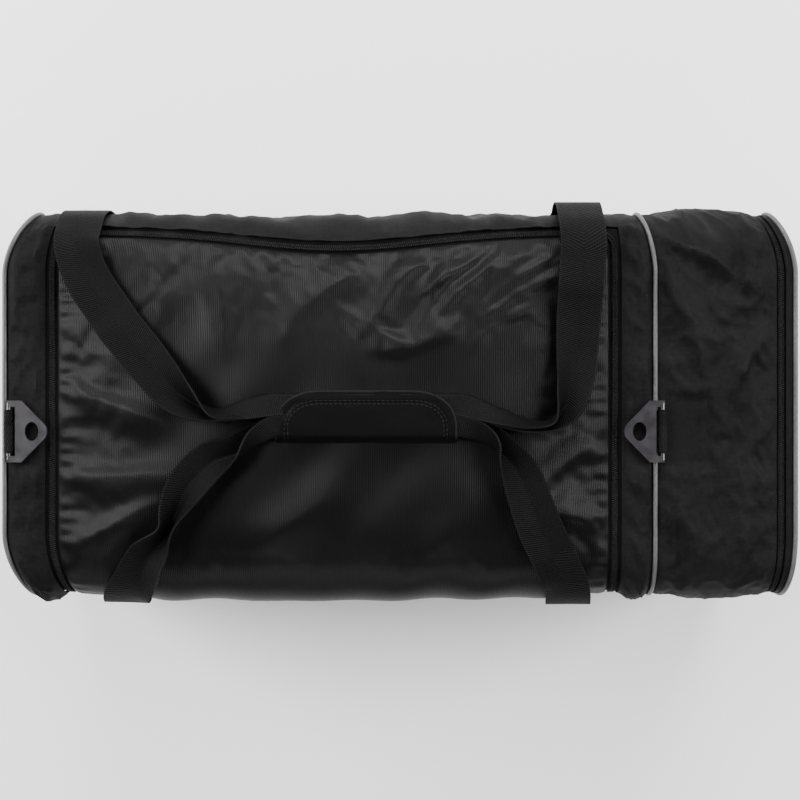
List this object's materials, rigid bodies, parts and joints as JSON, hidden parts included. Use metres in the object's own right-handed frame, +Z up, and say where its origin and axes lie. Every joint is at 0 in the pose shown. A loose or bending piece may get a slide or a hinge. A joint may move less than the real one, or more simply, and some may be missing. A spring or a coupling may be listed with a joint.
{
  "type": "tail bag",
  "caption": "Rectangular soft tail bag with a U-zipped lid, a zipped end compartment, webbing carry handles joined in a wrap grip, and moulded loops for a shoulder strap.",
  "frame": {"origin": "on the floor under the middle of the bag", "axes": "+X along the bag towards the end compartment, +Y towards the lid's opening edge, +Z up"},
  "size_m": [0.6997, 0.3556, 0.3361],
  "materials": {
    "body_fabric": "matte woven polyester",
    "lid_fabric": "slightly shiny coated nylon",
    "webbing": "matte woven webbing",
    "zip_tape": "matte woven tape",
    "zip_coil": "satin coil",
    "piping": "light grey coated tape",
    "loop_plastic": "glossy moulded",
    "slider_metal": "dark enamelled",
    "board": "matte sheet"
  },
  "bodies": {
    "bag": {"base_board": "board", "base_panel": "body_fabric", "divider_panel": "body_fabric", "end_gusset": "body_fabric", "end_gusset_base": "body_fabric", "end_zip_coil_gusset": "zip_coil", "end_zip_tape_gusset": "zip_tape", "front_handle_tail_left": "webbing", "front_handle_tail_right": "webbing", "front_panel": "body_fabric", "left_end_panel": "body_fabric", "left_loop_tab": "webbing", "left_piping": "piping", "lid_zip_coil_bag": "zip_coil", "lid_zip_tape_bag": "zip_tape", "middle_piping": "piping", "rear_handle_tail_left": "webbing", "rear_handle_tail_right": "webbing", "rear_panel": "body_fabric", "right_loop_tab": "webbing", "top_strip_front": "body_fabric", "top_strip_left": "body_fabric", "top_strip_right": "body_fabric"},
    "lid": {"lid_panel": "lid_fabric", "lid_zip_tape_lid": "zip_tape", "lid_zip_coil_lid": "zip_coil"},
    "end_door": {"end_door_panel": "body_fabric", "end_door_border": "body_fabric", "right_piping": "piping", "end_zip_tape_door": "zip_tape", "end_zip_coil_door": "zip_coil"},
    "front_handle": {"front_handle_core": "webbing", "front_handle_leg_left": "webbing", "front_handle_leg_right": "webbing"},
    "rear_handle": {"rear_handle_core": "webbing", "rear_handle_leg_left": "webbing", "rear_handle_leg_right": "webbing", "grip_wrap_base": "body_fabric"},
    "front_risers": {"front_handle_riser_left": "webbing", "front_handle_riser_right": "webbing"},
    "rear_risers": {"rear_handle_riser_left": "webbing", "rear_handle_riser_right": "webbing"},
    "grip_flap": {"grip_wrap_flap": "body_fabric"},
    "left_loop": {"left_strap_loop": "loop_plastic"},
    "right_loop": {"right_strap_loop": "loop_plastic"},
    "lid_left_slider": {"lid_zip_left_slider": "slider_metal"},
    "lid_left_pull": {"lid_zip_left_pull": "slider_metal"},
    "lid_right_slider": {"lid_zip_right_slider": "slider_metal"},
    "lid_right_pull": {"lid_zip_right_pull": "slider_metal"},
    "end_slider": {"end_zip_slider": "slider_metal"},
    "end_pull": {"end_zip_pull": "slider_metal"}
  },
  "joints": [
    {"name": "lid_hinge", "type": "hinge", "parent": "bag", "child": "lid", "pos_m": [0, -0.1702, 0.2668], "axis": [1, 0, 0], "range_deg": [0, 85]},
    {"name": "front_riser_swing", "type": "hinge", "parent": "bag", "child": "front_risers", "pos_m": [0, 0.1735, 0.2635], "axis": [-1, 0, 0], "range_deg": [0, 128], "deforming": ["front_handle_riser_left", "front_handle_riser_right"]},
    {"name": "front_handle_swing", "type": "hinge", "parent": "front_risers", "child": "front_handle", "pos_m": [0, 0.124, 0.3115], "axis": [-1, 0, 0], "range_deg": [0, 128], "deforming": ["front_handle_leg_left", "front_handle_leg_right"]},
    {"name": "rear_riser_swing", "type": "hinge", "parent": "bag", "child": "rear_risers", "pos_m": [0, -0.1735, 0.2635], "axis": [1, 0, 0], "range_deg": [0, 128], "deforming": ["rear_handle_riser_left", "rear_handle_riser_right"]},
    {"name": "rear_handle_swing", "type": "hinge", "parent": "rear_risers", "child": "rear_handle", "pos_m": [0, -0.124, 0.3115], "axis": [1, 0, 0], "range_deg": [0, 128], "deforming": ["rear_handle_leg_left", "rear_handle_leg_right"]},
    {"name": "grip_flap_fold", "type": "hinge", "parent": "rear_handle", "child": "grip_flap", "pos_m": [-0.0285, -0.029, 0.33515], "axis": [1, 0, 0], "range_deg": [0, 150]},
    {"name": "end_door_hinge", "type": "hinge", "parent": "bag", "child": "end_door", "pos_m": [0.3478, 0, 0.0022], "axis": [0, 1, 0], "range_deg": [0, 90]},
    {"name": "left_loop_swing", "type": "hinge", "parent": "bag", "child": "left_loop", "pos_m": [-0.3425, -0.024, 0.3102], "axis": [0, -1, 0], "range_deg": [0, 195]},
    {"name": "right_loop_swing", "type": "hinge", "parent": "bag", "child": "right_loop", "pos_m": [0.23, -0.024, 0.3102], "axis": [0, 1, 0], "range_deg": [0, 180]},
    {"name": "lid_left_slider_run", "type": "slide", "parent": "bag", "child": "lid_left_slider", "axis": [-1, 0, 0], "range_m": [0, 0.36]},
    {"name": "lid_left_pull_swing", "type": "hinge", "parent": "lid_left_slider", "child": "lid_left_pull", "pos_m": [0.148, 0.1546, 0.30268], "axis": [1, 0, 0], "range_deg": [0, 150]},
    {"name": "lid_right_slider_run", "type": "slide", "parent": "bag", "child": "lid_right_slider", "axis": [1, 0, 0], "range_m": [0, 0.014]},
    {"name": "lid_right_pull_swing", "type": "hinge", "parent": "lid_right_slider", "child": "lid_right_pull", "pos_m": [0.167, 0.1546, 0.30268], "axis": [1, 0, 0], "range_deg": [0, 150]},
    {"name": "end_slider_run", "type": "slide", "parent": "bag", "child": "end_slider", "axis": [0, 0, 1], "range_m": [0, 0.125]},
    {"name": "end_pull_swing", "type": "hinge", "parent": "end_slider", "child": "end_pull", "pos_m": [0.3355, -0.1752, 0.073], "axis": [-1, 0, 0], "range_deg": [0, 170]}
  ],
  "couplings": [
    {"joint": "front_riser_swing", "follows": "lid_hinge", "ratio": 1.5},
    {"joint": "front_handle_swing", "follows": "lid_hinge", "ratio": 1.5},
    {"joint": "rear_riser_swing", "follows": "lid_hinge", "ratio": 1.5},
    {"joint": "rear_handle_swing", "follows": "lid_hinge", "ratio": 1.5}
  ]
}
